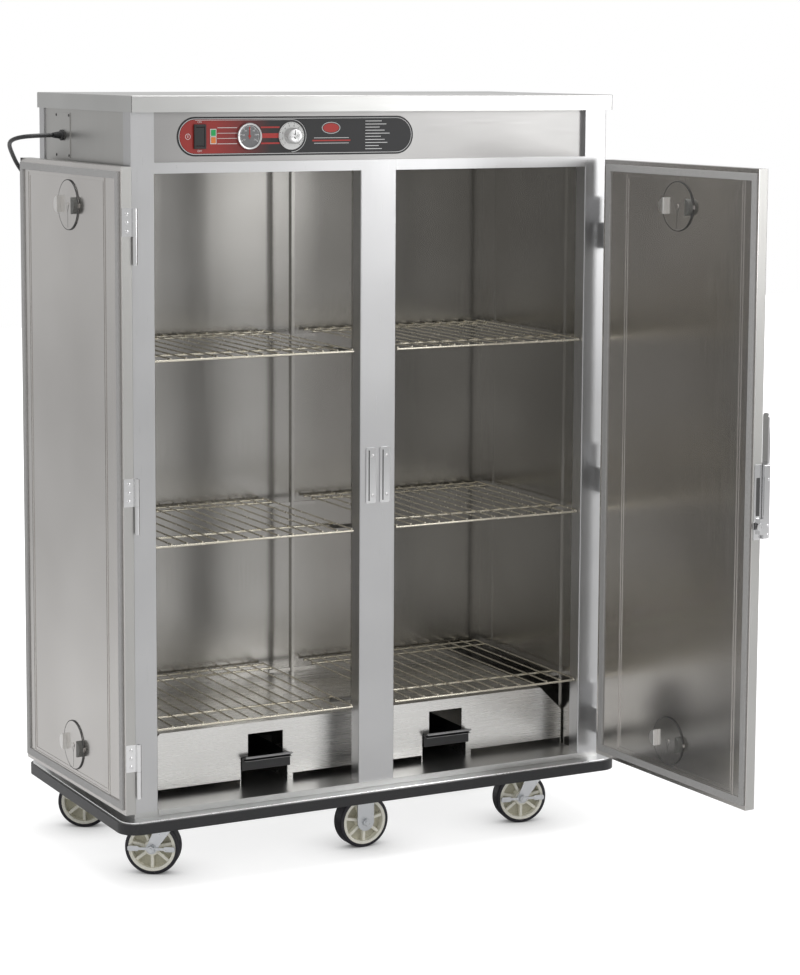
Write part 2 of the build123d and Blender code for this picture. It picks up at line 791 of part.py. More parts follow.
def wheel():
    with BuildPart() as hub:
        with BuildSketch(Plane.XZ):
            with BuildLine():
                bore = axle_radius + shaft_gap
                half = hub_width / 2
                rim = tyre_width / 2 - rim_step
                web = hub_web / 2
                rim_inner = tyre_inner - hub_rim
                Polyline((bore, -half), (hub_boss, -half), (hub_boss, -web), (rim_inner, -web),
                         (rim_inner, -rim), (tyre_inner, -rim), (tyre_inner, rim),
                         (rim_inner, rim), (rim_inner, web), (hub_boss, web),
                         (hub_boss, half), (bore, half), close=True)
            make_face()
        revolve(axis=Axis.Z)
    with BuildPart() as tyre:
        Cylinder(wheel_radius, tyre_width)
        fillet(tyre.edges(), tyre_round)
        Cylinder(tyre_inner, tyre_width, mode=Mode.SUBTRACT)
    return [hub.part.rotate(Axis.X, 90), tyre.part.rotate(Axis.X, 90)]


def brake_lever():
    with BuildPart() as lever:
        y = hub_width / 2 + leg_gap + leg_thick + run_gap
        with BuildSketch(Plane.XZ.offset(-y)):
            with Locations((caster_lead, wheel_radius)):
                Circle(brake_hub)
                Rectangle(brake_length, brake_width / 2)
            for end in (-1, 1):
                with Locations((caster_lead + end * brake_length / 2, wheel_radius)):
                    RectangleRounded(wing_length, brake_width, wing_round)
            with Locations((caster_lead, wheel_radius)):
                Circle(axle_radius + shaft_gap, mode=Mode.SUBTRACT)
        extrude(amount=-brake_thick + run_gap)
    return lever.part


swivels = {
    "front_left": (caster_inset_x, caster_inset_y, 145.9),
    "rear_left": (caster_inset_x, depth - caster_inset_back, 150.0),
    "front_right": (width - caster_inset_x, caster_inset_y, 168.4),
    "rear_right": (width - caster_inset_x, depth - caster_inset_back, 200.0),
}
for corner, (x, y, heading) in swivels.items():
    braked = corner.startswith("front")
    place = Location((x, y, 0), (0, 0, heading))
    keep(swivel_fork(braked).moved(place), f"fork_{corner}")
    wheel_place = place * Location((caster_lead, 0, wheel_radius))
    keep(Compound(children=[s.moved(wheel_place) for s in wheel()]), f"wheel_{corner}")
    if braked:
        keep(brake_lever().moved(place), f"brake_{corner}")

rigid_rows = (caster_inset_y, depth - caster_inset_back)
with BuildPart() as caster_plates:
    for x, y, heading in swivels.values():
        caster_plate(x, y)
        rod(x, y, plate_low + plate_thick / 2, kingpin_radius + shaft_gap, plate_thick,
            mode=Mode.SUBTRACT)
    for y in rigid_rows:
        caster_plate(width / 2, y)
rigid_solids = list(caster_plates.part.solids())
for y in rigid_rows:
    rigid_legs = fork_legs(plate_low, caster_lead, rigid_leg_width, rigid_leg_width)
    rigid_solids.append(rigid_legs.moved(Location((width / 2 - caster_lead, y, 0))))
keep(Compound(children=rigid_solids), "caster_plates")

for name, y in (("front_centre", rigid_rows[0]), ("rear_centre", rigid_rows[1])):
    place = Location((width / 2, y, wheel_radius))
    keep(Compound(children=[s.moved(place) for s in wheel()]), f"wheel_{name}")

# Cord plate on the left panel, with the strain relief
with BuildPart() as cord_plate:
    slab(panel_step - plate_sheet, panel_step, relief_y - plate_width / 2, relief_y + plate_width / 2,
         relief_z - plate_height / 2, relief_z + plate_height / 2)
keep(Compound(children=[side_panel_left.part.solid(), cord_plate.part.solid()]), "side_panel_left")

relief_base = panel_step - plate_sheet
with BuildPart() as strain_relief:
    along_x(relief_base - flange_height / 2, relief_y, relief_z, relief_radius, flange_height)
    along_x(relief_base - relief_length / 2, relief_y, relief_z, relief_radius * neck_share, relief_length)
keep(strain_relief.part, "strain_relief")

# Power lead: out of the side, round the back corner, down behind the cabinet
# and along the floor to its coil
cord_z = cord_diameter / 2
relief_end = relief_base - relief_length
behind = depth + insert_out + cord_clear
cord_points = [
    (relief_end, relief_y, relief_z),
    (relief_end - 36, relief_y + 3, relief_z - 1),
    (relief_end - 64, relief_y + 25, relief_z - 4),
    (relief_end - 75, relief_y + 60, relief_z - 11),
    (relief_end - 70, relief_y + 98, relief_z - 22),
    (relief_end - 50, relief_y + 138, relief_z - 42),
    (relief_end - 18, relief_y + 180, relief_z - 80),
    (22, behind - 2, relief_z - 150),
    (44, behind + 8, relief_z - 236),
    (52, behind + 4, 1320),
    (46, behind + 8, 1190),
    (55, behind + 5, 1050),
    (49, behind + 9, 905),
    (57, behind + 6, 765),
    (52, behind + 10, 620),
    (60, behind + 6, 475),
    (56, behind + 11, 335),
    (64, behind + 8, 210),
    (70, behind + 14, 105),
    (96, behind + 26, 36),
    (150, behind + 38, cord_z + 4),
    (222, behind + 44, cord_z),
    (coil_centre[0] - 38, coil_centre[1] - 40, cord_z),
]


def corner_radii(points):
    radii = []
    for a, b, c in zip(points, points[1:], points[2:]):
        first = Vector(*b) - Vector(*a)
        second = Vector(*c) - Vector(*b)
        turn = radians(first.get_angle(second))
        radii.append(bend_share * min(first.length, second.length) / tan(turn / 2))
    return radii


radii = corner_radii(cord_points)
print("cord radii", [round(r) for r in radii])
with BuildPart() as power_cord:
    with BuildLine() as route:
        FilletPolyline(*cord_points, radius=radii)
    cord_start = Plane(origin=cord_points[0], z_dir=Vector(*cord_points[1]) - Vector(*cord_points[0]))
    with BuildSketch(cord_start):
        Circle(cord_diameter / 2)
    sweep(path=route.line)
cord_length = sum(edge.length for edge in route.line.edges())
section = pi * cord_diameter ** 2 / 4
print("cord length", round(cord_length), "volume ratio",
      round(power_cord.part.volume / (section * cord_length), 4))
keep(power_cord.part, "power_cord")

coil_height = 2 * cord_diameter
coil_band = 2 * cord_diameter
with BuildPart() as cord_coil:
    with BuildSketch():
        with Locations(coil_centre):
            Circle(coil_mean / 2 + coil_band / 2)
            Circle(coil_mean / 2 - coil_band / 2, mode=Mode.SUBTRACT)
    extrude(amount=coil_height)
    fillet(cord_coil.edges(), coil_round)
keep(cord_coil.part, "cord_coil")

with BuildPart() as power_plug:
    plug_x = coil_centre[0] + coil_mean / 2
    plug_z = coil_height + plug_radius * plug_flat_share
    along_x(plug_x, coil_centre[1], plug_z, plug_radius, plug_length)
    slab(plug_x - plug_length, plug_x + plug_length, coil_centre[1] - 2 * plug_radius,
         coil_centre[1] + 2 * plug_radius, 0, coil_height - plug_sink, Mode.SUBTRACT)
    for side in (-1, 1):
        prong = coil_centre[1] + side * prong_spacing / 2
        slab(plug_x + plug_length / 2, plug_x + plug_length / 2 + prong_length,
             prong - prong_thick / 2, prong + prong_thick / 2,
                 plug_z - prong_height / 2, plug_z + prong_height / 2)
keep(power_plug.part, "power_plug")

# The whole cabinet is written with its origin at the middle of its footprint
corded = ("power_cord", "cord_coil", "power_plug")
boxes = [part.bounding_box() for name, part in pieces.items() if name not in corded]
middle_x = (min(b.min.X for b in boxes) + max(b.max.X for b in boxes)) / 2
middle_y = (min(b.min.Y for b in boxes) + max(b.max.Y for b in boxes)) / 2
lowest = min(b.min.Z for b in boxes)
print("origin at", round(middle_x, 3), round(middle_y, 3), "lowest", round(lowest, 3))
os.makedirs("parts", exist_ok=True)
for name, part in pieces.items():
    placed = part.moved(Location((-middle_x, -middle_y, -lowest)))
    placed.label = name
    export_step(placed, f"parts/{name}.step")
print(len(pieces), "nodes")
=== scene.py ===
from math import cos, pi, radians, sin

import bmesh
import bpy
from mathutils import Matrix, Vector


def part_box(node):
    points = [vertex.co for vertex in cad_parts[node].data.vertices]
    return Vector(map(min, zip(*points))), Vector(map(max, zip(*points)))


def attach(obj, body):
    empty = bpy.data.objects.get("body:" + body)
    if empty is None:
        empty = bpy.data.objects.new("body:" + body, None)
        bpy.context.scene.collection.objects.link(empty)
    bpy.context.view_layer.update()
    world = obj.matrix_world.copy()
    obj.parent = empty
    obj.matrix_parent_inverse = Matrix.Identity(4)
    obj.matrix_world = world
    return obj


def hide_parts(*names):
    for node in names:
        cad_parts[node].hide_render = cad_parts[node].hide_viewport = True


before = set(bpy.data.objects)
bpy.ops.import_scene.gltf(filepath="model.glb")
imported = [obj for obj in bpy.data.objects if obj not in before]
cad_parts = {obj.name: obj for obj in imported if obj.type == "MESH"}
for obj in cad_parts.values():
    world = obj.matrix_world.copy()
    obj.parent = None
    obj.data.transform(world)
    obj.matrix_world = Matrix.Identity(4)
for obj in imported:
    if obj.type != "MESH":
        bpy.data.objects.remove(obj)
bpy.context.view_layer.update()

# Camera. Seen from the front left at standing height, through a long lens.
# Places are given in millimetres from the foot of the left front post's outer
# corner, and spot() turns them into the frame's metres.
post_corner = Vector(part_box("front_frame")[0])


def spot(x, y, z):
    return Vector((post_corner.x + x / 1000, post_corner.y + y / 1000, z / 1000))


camera_place = spot(-2210.1, -5436.0, 1863.6)
camera_yaw = radians(27.9)
camera_pitch = radians(7.3)
camera_roll = radians(0.3)
focal_pixels = 2675.7
photo_height = 975
axis_row = 400
look = Vector((sin(camera_yaw) * cos(camera_pitch), cos(camera_yaw) * cos(camera_pitch), -sin(camera_pitch)))
level = Vector((cos(camera_yaw), -sin(camera_yaw), 0))
upward = level.cross(look)
right_hand = level * cos(camera_roll) + upward * sin(camera_roll)
overhead = upward * cos(camera_roll) - level * sin(camera_roll)
camera_data = bpy.data.cameras.new("camera")
camera_data.sensor_fit = "VERTICAL"
camera_data.sensor_height = 36
camera_data.lens = focal_pixels / photo_height * camera_data.sensor_height
camera_data.shift_y = (axis_row - photo_height / 2) / photo_height
camera_data.clip_end = 60
camera = bpy.data.objects.new("camera", camera_data)
turn = Matrix((right_hand, overhead, -look)).transposed().to_4x4()
camera.matrix_world = Matrix.Translation(camera_place) @ turn
bpy.context.collection.objects.link(camera)
bpy.context.scene.camera = camera
bpy.context.scene.view_settings.view_transform = "Standard"


# Values that several sections share: the drawing scale, the cabinet's body
# without its bumper, and the angle above which an edge is drawn sharp.
millimetres = Matrix.Translation(spot(0, 0, 0)) @ Matrix.Scale(0.001, 4)
width, depth = 1220.0, 560.0
sharp_angle = radians(35)
mottle_scale = 3.0


def link_mesh(name, bm, material=None, body="root", place=millimetres):
    # Turns a mesh drawn in millimetres into a piece that rides on a body.
    mesh = bpy.data.meshes.new(name)
    bm.transform(place)
    bmesh.ops.recalc_face_normals(bm, faces=bm.faces)
    bm.to_mesh(mesh)
    bm.free()
    piece = bpy.data.objects.new(name, mesh)
    bpy.context.collection.objects.link(piece)
    mesh.shade_smooth()
    mesh.set_sharp_from_angle(angle=sharp_angle)
    if material:
        mesh.materials.append(material)
    if body:
        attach(piece, body)
    return piece


def add_box(bm, x0, x1, y0, y1, z0, z1, bevel=0.0):
    size = Matrix.Diagonal((x1 - x0, y1 - y0, z1 - z0, 1))
    middle = Matrix.Translation(((x0 + x1) / 2, (y0 + y1) / 2, (z0 + z1) / 2))
    made = bmesh.ops.create_cube(bm, size=1, matrix=middle @ size)
    if bevel:
        edges = list({e for v in made["verts"] for e in v.link_edges})
        bmesh.ops.bevel(bm, geom=edges, offset=bevel, segments=2, affect="EDGES")


def add_turned(bm, profile, centre, axis, steps=32):
    # Revolves (along, radius) points about an axis through the centre.
    axis = Vector(axis).normalized()
    side = axis.orthogonal().normalized()
    if abs(axis.z) < 0.5:
        side = Vector((0, 0, 1))
    verts = [bm.verts.new(Vector(centre) + axis * a + side * r) for a, r in profile]
    edges = [bm.edges.new(pair) for pair in zip(verts, verts[1:])]
    bmesh.ops.spin(bm, geom=verts + edges, cent=centre, axis=axis, angle=2 * pi, steps=steps, use_merge=True)
    bmesh.ops.remove_doubles(bm, verts=bm.verts, dist=1e-5)


def add_screw(bm, centre, axis, radius, height):
    # A low domed head that stands on the surface.
    profile = ((0, radius), (height * 0.45, radius * 0.97), (height * 0.85, radius * 0.7),
               (height, radius * 0.3), (height, 0.0))
    add_turned(bm, profile, centre, axis, 20)


def new_material(name):
    material = bpy.data.materials.new(name)
    material.use_nodes = True
    return material, material.node_tree.nodes, material.node_tree.links


# Shared grain: fine scratches drawn out along one axis, as a belt leaves them
# on stainless sheet, with broad soft mottling under them.
grain_group = bpy.data.node_groups.new("drawn_grain", "ShaderNodeTree")
for socket_name, socket_type, direction in (
    ("Stretch", "NodeSocketVector", "INPUT"), ("Mottle", "NodeSocketFloat", "INPUT"),
    ("Grain", "NodeSocketFloat", "OUTPUT"), ("Cloud", "NodeSocketFloat", "OUTPUT"),
):
    grain_group.interface.new_socket(name=socket_name, in_out=direction, socket_type=socket_type)
g_in = grain_group.nodes.new("NodeGroupInput")
g_out = grain_group.nodes.new("NodeGroupOutput")
g_coord = grain_group.nodes.new("ShaderNodeTexCoord")
g_scale = grain_group.nodes.new("ShaderNodeVectorMath")
g_scale.operation = "MULTIPLY"
g_fine = grain_group.nodes.new("ShaderNodeTexNoise")
g_fine.inputs["Scale"].default_value = 1.0
g_fine.inputs["Detail"].default_value = 3.0
g_cloud = grain_group.nodes.new("ShaderNodeTexNoise")
g_cloud.inputs["Detail"].default_value = 2.0
grain_group.links.new(g_coord.outputs["Object"], g_scale.inputs[0])
grain_group.links.new(g_in.outputs["Stretch"], g_scale.inputs[1])
grain_group.links.new(g_scale.outputs["Vector"], g_fine.inputs["Vector"])
grain_group.links.new(g_coord.outputs["Object"], g_cloud.inputs["Vector"])
grain_group.links.new(g_in.outputs["Mottle"], g_cloud.inputs["Scale"])
grain_group.links.new(g_fine.outputs["Fac"], g_out.inputs["Grain"])
grain_group.links.new(g_cloud.outputs["Fac"], g_out.inputs["Cloud"])


def metal(name, dark, light, rough_low, rough_high, stretch, bump=0.04):
    # Bare metal whose grain varies its colour, gloss and height.
    material, nodes, links = new_material(name)
    shader = nodes["Principled BSDF"]
    shader.inputs["Metallic"].default_value = 1.0
    grain = nodes.new("ShaderNodeGroup")
    grain.node_tree = grain_group
    grain.inputs["Stretch"].default_value = stretch
    grain.inputs["Mottle"].default_value = mottle_scale
    mix = nodes.new("ShaderNodeMapRange")
    mix.inputs["From Min"].default_value = 0.25
    mix.inputs["From Max"].default_value = 0.75
    mix.inputs["To Min"].default_value = rough_low
    mix.inputs["To Max"].default_value = rough_high
    links.new(grain.outputs["Grain"], mix.inputs["Value"])
    links.new(mix.outputs["Result"], shader.inputs["Roughness"])
    ramp = nodes.new("ShaderNodeValToRGB")
    ramp.color_ramp.elements[0].color = (*dark, 1)
    ramp.color_ramp.elements[1].color = (*light, 1)
    ramp.color_ramp.elements[0].position = 0.3
    ramp.color_ramp.elements[1].position = 0.7
    links.new(grain.outputs["Cloud"], ramp.inputs["Fac"])
    links.new(ramp.outputs["Color"], shader.inputs["Base Color"])
    if bump:
        height = nodes.new("ShaderNodeBump")
        height.inputs["Strength"].default_value = bump
        height.inputs["Distance"].default_value = 0.0005
        links.new(grain.outputs["Grain"], height.inputs["Height"])
        links.new(height.outputs["Normal"], shader.inputs["Normal"])
    return material


def coated(name, dark, light, rough, scale=400.0, bump=0.1, coat=0.0):
    # Moulded plastic, rubber or vinyl with a fine pebble.
    material, nodes, links = new_material(name)
    shader = nodes["Principled BSDF"]
    coord = nodes.new("ShaderNodeTexCoord")
    noise = nodes.new("ShaderNodeTexNoise")
    noise.inputs["Scale"].default_value = scale
    noise.inputs["Detail"].default_value = 2.0
    links.new(coord.outputs["Object"], noise.inputs["Vector"])
    ramp = nodes.new("ShaderNodeValToRGB")
    ramp.color_ramp.elements[0].color = (*dark, 1)
    ramp.color_ramp.elements[1].color = (*light, 1)
    ramp.color_ramp.elements[0].position = 0.35
    ramp.color_ramp.elements[1].position = 0.65
    links.new(noise.outputs["Fac"], ramp.inputs["Fac"])
    links.new(ramp.outputs["Color"], shader.inputs["Base Color"])
    shader.inputs["Roughness"].default_value = rough
    shader.inputs["Coat Weight"].default_value = coat
    height = nodes.new("ShaderNodeBump")
    height.inputs["Strength"].default_value = bump
    height.inputs["Distance"].default_value = 0.0003
    links.new(noise.outputs["Fac"], height.inputs["Height"])
    links.new(height.outputs["Normal"], shader.inputs["Normal"])
    return material


def dress(material, *names):
    # Gives the named solids of the frame one material.
    for name in names:
        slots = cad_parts[name].data.materials
        slots.clear()
        slots.append(material)


# Power lead: a black rubber cord of about three metres. It leaves the left
# side near the back, goes round the back corner, hangs behind the cabinet and
# ends in a loose coil on the floor with its plug on top.
cord_diameter = 10.0
relief_end = (-24.5, 412.0, 1681.5)
behind = depth + 58.0
ex, ey, ez = relief_end
cord_route = [
    (ex, ey, ez), (ex - 36, ey + 3, ez - 1), (ex - 64, ey + 25, ez - 4), (ex - 75, ey + 60, ez - 11),
    (ex - 70, ey + 98, ez - 22), (ex - 50, ey + 138, ez - 42), (ex - 18, ey + 180, ez - 80),
    (22, behind - 2, ez - 150), (44, behind + 8, ez - 236), (52, behind + 4, 1320),
    (46, behind + 8, 1190), (55, behind + 5, 1050), (49, behind + 9, 905), (57, behind + 6, 765),
    (52, behind + 10, 620), (60, behind + 6, 475), (56, behind + 11, 335), (64, behind + 8, 210),
    (70, behind + 14, 105), (96, behind + 26, 36), (150, behind + 38, 9), (222, behind + 44, 5),
]
coil_x, coil_y = 330.0, 700.0
coil_wide, coil_narrow, coil_last = 61.0, 49.0, 55.0
coil_low, coil_middle, coil_top = 5.0, 15.5, 35.3
coil_step = 22.5
angle = 226.5
turns = (
    (360, coil_wide, coil_narrow, coil_low, coil_low),
    (180, coil_narrow, coil_narrow, coil_low, coil_middle),
    (360, coil_narrow, coil_wide, coil_middle, coil_middle),
    (270, coil_wide, coil_last, coil_middle, coil_top),
)
for sweep_angle, r0, r1, z0, z1 in turns:
    count = round(sweep_angle / coil_step)
    for i in range(count):
        t = i / count
        a = radians(angle + sweep_angle * t)
        r = r0 + (r1 - r0) * t
        cord_route.append((coil_x + r * cos(a), coil_y + r * sin(a), z0 + (z1 - z0) * t))
    angle += sweep_angle
for before_plug in (34, 26):
    cord_route.append((coil_x + coil_last, coil_y - before_plug, coil_top))
cord_curve = bpy.data.curves.new("power_cord_lead", "CURVE")
cord_curve.dimensions = "3D"
spline = cord_curve.splines.new("NURBS")
spline.points.add(len(cord_route) - 1)
for point, place in zip(spline.points, cord_route):
    point.co = (*spot(*place), 1)
spline.order_u = 3
spline.use_endpoint_u = True
spline.resolution_u = 8
cord_curve.bevel_depth = cord_diameter / 2000
cord_curve.bevel_resolution = 4
lead = bpy.data.objects.new("power_cord_lead", cord_curve)
bpy.context.collection.objects.link(lead)
cord_black = coated("cord_rubber", (0.012, 0.012, 0.013), (0.03, 0.03, 0.032), 0.42, 900, 0.15, 0.15)
cord_curve.materials.append(cord_black)
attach(lead, "root")
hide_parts("power_cord", "cord_coil")
dress(cord_black, "power_plug")
# The edge end points are read from a copy without thickness.
probe = lead.copy()
probe.data = cord_curve.copy()
probe.data.bevel_depth = 0
bpy.context.collection.objects.link(probe)
bpy.context.view_layer.update()
line = bpy.data.meshes.new_from_object(probe.evaluated_get(bpy.context.evaluated_depsgraph_get()))
ends = [[line.vertices[v].co for v in edge.vertices] for edge in line.edges]
bpy.data.objects.remove(probe)
bpy.data.meshes.remove(line)

# Strain relief: a moulded black gland on the cord plate. Its sleeve narrows
# towards the cord in five ribs.
bm = bmesh.new()
plate_face = 1.5
gland_length = 24.5
ribs, rib_pitch, rib_taper = 5, 3.4, 0.55
gland = [(-1.0, 0.0), (-1.0, 12.5), (5.0, 12.5), (6.0, 11.0)]
for i in range(ribs):
    along = 6.5 + i * rib_pitch
    radius = 8.8 - i * rib_taper
    gland += [(along, radius), (along + 2.2, radius - 0.2), (along + 2.4, radius - 1.4),
              (along + 3.2, radius - 1.4)]
gland += [(gland_length, 6.0), (gland_length, 4.9)]
add_turned(bm, gland, (plate_face, ey, ez), (-1, 0, 0))
relief = link_mesh("strain_relief_gland", bm, cord_black)
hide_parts("strain_relief")

# Stainless body: folded sheet with a lengthwise brushed grain. Upright pieces
# are brushed up and down, rails and the deck along their length.
level_grain = (9, 700, 700)
upright_steel = metal("upright_steel", (0.50, 0.50, 0.505), (0.58, 0.58, 0.585), 0.27, 0.36,
                      (700, 700, 9), 0.012)
rail_steel = metal("rail_steel", (0.50, 0.50, 0.49), (0.59, 0.59, 0.58), 0.28, 0.36, level_grain, 0.012)
side_steel = metal("side_steel", (0.46, 0.455, 0.44), (0.52, 0.515, 0.50), 0.30, 0.38, (700, 700, 7), 0.012)
liner_steel = metal("liner_steel", (0.36, 0.35, 0.33), (0.44, 0.43, 0.41), 0.20, 0.27, (600, 600, 6), 0.008)
door_steel = metal("door_steel", (0.60, 0.58, 0.56), (0.68, 0.66, 0.64), 0.17, 0.24, (600, 600, 6), 0.008)
cover_steel = metal("cover_steel", (0.72, 0.71, 0.69), (0.80, 0.79, 0.77), 0.24, 0.32, (9, 500, 500), 0.01)
dress(upright_steel, "front_frame", "back_panel")
dress(rail_steel, "top_deck", "base_frame", "floor_pan")
# The fascia is a darker copy of the rail steel: painted shade on the recessed panel.
fascia_painted_shade_steel = metal("fascia_painted_shade_steel", (0.34, 0.335, 0.33), (0.39, 0.385, 0.38), 0.30, 0.38, level_grain, 0.012)
dress(fascia_painted_shade_steel, "control_fascia")
dress(side_steel, "side_panel_left", "side_panel_right", "door_left_shell", "door_right_shell")
dress(liner_steel, "inner_liner", "shelf_standards")
dress(door_steel, "door_left_liner", "door_right_liner")
dress(cover_steel, "heater_cover")
dress(coated("tray_black", (0.012, 0.012, 0.013), (0.022, 0.022, 0.023), 0.3), "tray_left", "tray_right")
dress(coated("mineral_wool", (0.5, 0.42, 0.2), (0.7, 0.6, 0.35), 0.95, 300, 0.6), "wall_insulation")

# Bright hardware: chrome latches and hinges, zinc plated casters and wire
# shelves. The vent discs are of the doors' steel.
bright = metal("chrome_plate", (0.72, 0.72, 0.73), (0.8, 0.8, 0.8), 0.08, 0.16, (200, 200, 200), 0.01)
zinc = metal("zinc_plate", (0.62, 0.64, 0.66), (0.75, 0.76, 0.78), 0.24, 0.40, (60, 60, 60), 0.05)
wire_metal = metal("plated_wire", (0.62, 0.58, 0.48), (0.74, 0.70, 0.60), 0.18, 0.3, (90, 90, 90), 0.02)
element_metal = metal("element_sheath", (0.12, 0.11, 0.10), (0.2, 0.18, 0.17), 0.4, 0.6, (90, 90, 90), 0.05)
for name in sorted(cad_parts):
    if name.startswith("vent_"):
        dress(door_steel, name)
    if name.startswith(("latch_", "frame_hardware")) or name.endswith("_hinges"):
        dress(bright, name)
    if name.startswith(("fork_", "caster_", "brake_")):
        dress(zinc, name)
dress(wire_metal, "left_shelves", "right_shelves")
dress(element_metal, "heating_elements")
seal = coated("silicone_seal", (0.36, 0.355, 0.35), (0.42, 0.415, 0.41), 0.5, 300, 0.05)
dress(seal, "door_left_gasket", "door_right_gasket")

# Bumper: aluminium channel above a black vinyl insert. A ring of brighter
# aluminium along its top edge is a painted highlight.
channel_metal = metal("channel_aluminium", (0.60, 0.61, 0.61), (0.72, 0.72, 0.72), 0.3, 0.42, (16, 700, 700))
vinyl = coated("black_vinyl", (0.010, 0.010, 0.011), (0.022, 0.022, 0.024), 0.34, 500, 0.1)
dress(channel_metal, "bumper_channel")
bead_painted_highlight = metal("channel_bead_painted_highlight", (0.86, 0.86, 0.86), (0.92, 0.92, 0.92), 0.2, 0.3, (20, 20, 20), 0.01)


def rounded_ring(outward, radius, count=10):
    # Corner points of the base's outline grown outward.
    points = []
    for cx, cy, start in ((width, depth, 0), (0, depth, 90), (0, 0, 180), (width, 0, 270)):
        middle_x = cx + (outward - radius) * (1 if cx else -1)
        middle_y = cy + (outward - radius) * (1 if cy else -1)
        for i in range(count + 1):
            a = radians(start + 90 * i / count)
            points.append((middle_x + radius * cos(a), middle_y + radius * sin(a)))
    return points


# The ring drawn next, in the brighter aluminium, is a painted highlight on the channel's top edge.
bumper_out, bumper_corner = 34.0, 38.0
edge_section = (
    (0.0, 164.3), (-3.0, 164.3), (-3.0, 163.9), (0.4, 163.9), (0.8, 163.0), (0.8, 161.3), (0.0, 161.2),
)
bm = bmesh.new()
rows = []
for grow, z in edge_section:
    outline = rounded_ring(bumper_out + grow, bumper_corner + grow)
    rows.append([bm.verts.new((x, y, z)) for x, y in outline])
count = len(rows[0])
for a, b in zip(rows, rows[1:] + rows[:1]):
    for i in range(count):
        bm.faces.new((a[i], a[(i + 1) % count], b[(i + 1) % count], b[i]))
link_mesh("channel_edge_painted_highlight", bm, bead_painted_highlight)
dress(vinyl, "bumper_insert")

# Controls on the fascia: a black film overlay with its rocker, lenses, dial
# and knob. Heights are taken from control_z, the middle of the overlay.
black_plastic = coated("switch_plastic", (0.008, 0.008, 0.008), (0.018, 0.018, 0.018), 0.3, 800, 0.05, 0.3)
overlay = coated("overlay_film", (0.010, 0.010, 0.011), (0.018, 0.018, 0.02), 0.42, 900, 0.02)
white_plastic = coated("dial_white", (0.7, 0.7, 0.69), (0.78, 0.78, 0.77), 0.3, 600, 0.02, 0.2)
dress(black_plastic, "rocker_switch", "thermostat_body")
dress(overlay, "label_plate")
dress(white_plastic, "thermostat_knob", "indicator_lights")
silver = metal("satin_silver", (0.66, 0.66, 0.66), (0.74, 0.74, 0.74), 0.25, 0.35, (80, 80, 80), 0.01)
print_white = coated("print_white", (0.72, 0.72, 0.72), (0.76, 0.76, 0.76), 0.5, 500, 0.0)
print_red = coated("print_red", (0.42, 0.025, 0.02), (0.46, 0.03, 0.024), 0.42, 500, 0.0)
label_face = 13.0
control_z = 1687.5
label_left, label_right, label_half = 117.0, 705.0, 43.5
switch_x, dial_x, knob_x, badge_x = 171.0, 291.0, 394.6, 495.0
badge_z = control_z + 17
field_lift, badge_lift, print_lift = 0.08, 0.1, 0.12


def stadium(x0, x1, half, count=24):
    # Outline of a bar with round ends, going round from the lower left.
    points = []
    for middle, start in ((x1 - half, -pi / 2), (x0 + half, pi / 2)):
        for i in range(count + 1):
            a = start + pi * i / count
            points.append((middle + half * cos(a), control_z + half * sin(a)))
    return points


def oval(x, z, half_wide, half_high, count):
    angles = (2 * pi * i / count for i in range(count))
    return [(x + half_wide * cos(a), z + half_high * sin(a)) for a in angles]


def add_flat(bm, outline, lift):
    # A printed patch: a flat face held just off the overlay.
    bm.faces.new([bm.verts.new((x, label_face - lift, z)) for x, z in outline])


def add_line(bm, outline, wide, closed=True):
    # A printed line of constant width along an outline.
    count = len(outline)
    rows = []
    for i, (x, z) in enumerate(outline):
        before = Vector(outline[i - 1] if closed or i else outline[0])
        after = Vector(outline[(i + 1) % count] if closed or i < count - 1 else outline[-1])
        along = (after - before).normalized()
        off = Vector((-along.y, along.x)) * wide / 2
        sides = [(x + k * off.x, label_face - print_lift, z + k * off.y) for k in (-1, 1)]
        rows.append([bm.verts.new(place) for place in sides])
    for i in range(count if closed else count - 1):
        a, b = rows[i], rows[(i + 1) % count]
        bm.faces.new((a[0], a[1], b[1], b[0]))


def add_patch(bm, x0, x1, z0, z1):
    # A printed oblong, with its heights measured from the overlay's middle.
    low, high = control_z + z0, control_z + z1
    add_flat(bm, ((x0, low), (x1, low), (x1, high), (x0, high)), print_lift)


def add_stroke(bm, x, face, angle, inner, outer, half_wide):
    # One printed stroke that points outward on a dial.
    middle = Vector((x, face, control_z))
    outward = Vector((sin(angle), 0, cos(angle)))
    across = Vector((cos(angle), 0, -sin(angle))) * half_wide
    corners = [middle + outward * inner - across, middle + outward * inner + across,
               middle + outward * outer + across, middle + outward * outer - across]
    bm.faces.new([bm.verts.new(c) for c in corners])


# Printed overlay: a red field that fades into black towards the right, silver
# outlines, pinstripes behind the dial and a bare badge.
fade, nodes, links = new_material("overlay_red_fade")
shader = nodes["Principled BSDF"]
shader.inputs["Roughness"].default_value = 0.42
coord = nodes.new("ShaderNodeTexCoord")
parts = nodes.new("ShaderNodeSeparateXYZ")
reach = nodes.new("ShaderNodeMapRange")
reach.inputs["From Min"].default_value = spot(205, 0, 0).x
reach.inputs["From Max"].default_value = spot(345, 0, 0).x
shade = nodes.new("ShaderNodeValToRGB")
shade.color_ramp.elements[0].color = (0.34, 0.022, 0.017, 1)
shade.color_ramp.elements[1].color = (0.013, 0.012, 0.013, 1)
links.new(coord.outputs["Object"], parts.inputs["Vector"])
links.new(parts.outputs["X"], reach.inputs["Value"])
links.new(reach.outputs["Result"], shade.inputs["Fac"])
links.new(shade.outputs["Color"], shader.inputs["Base Color"])
field_end = 430
bm = bmesh.new()
add_flat(bm, stadium(label_left + 6, field_end, label_half - 6), field_lift)
link_mesh("overlay_red_field", bm, fade)
bm = bmesh.new()
left_half = 26
add_line(bm, stadium(label_left + 4.5, label_right - 4.5, label_half - 4.5), 1.2)
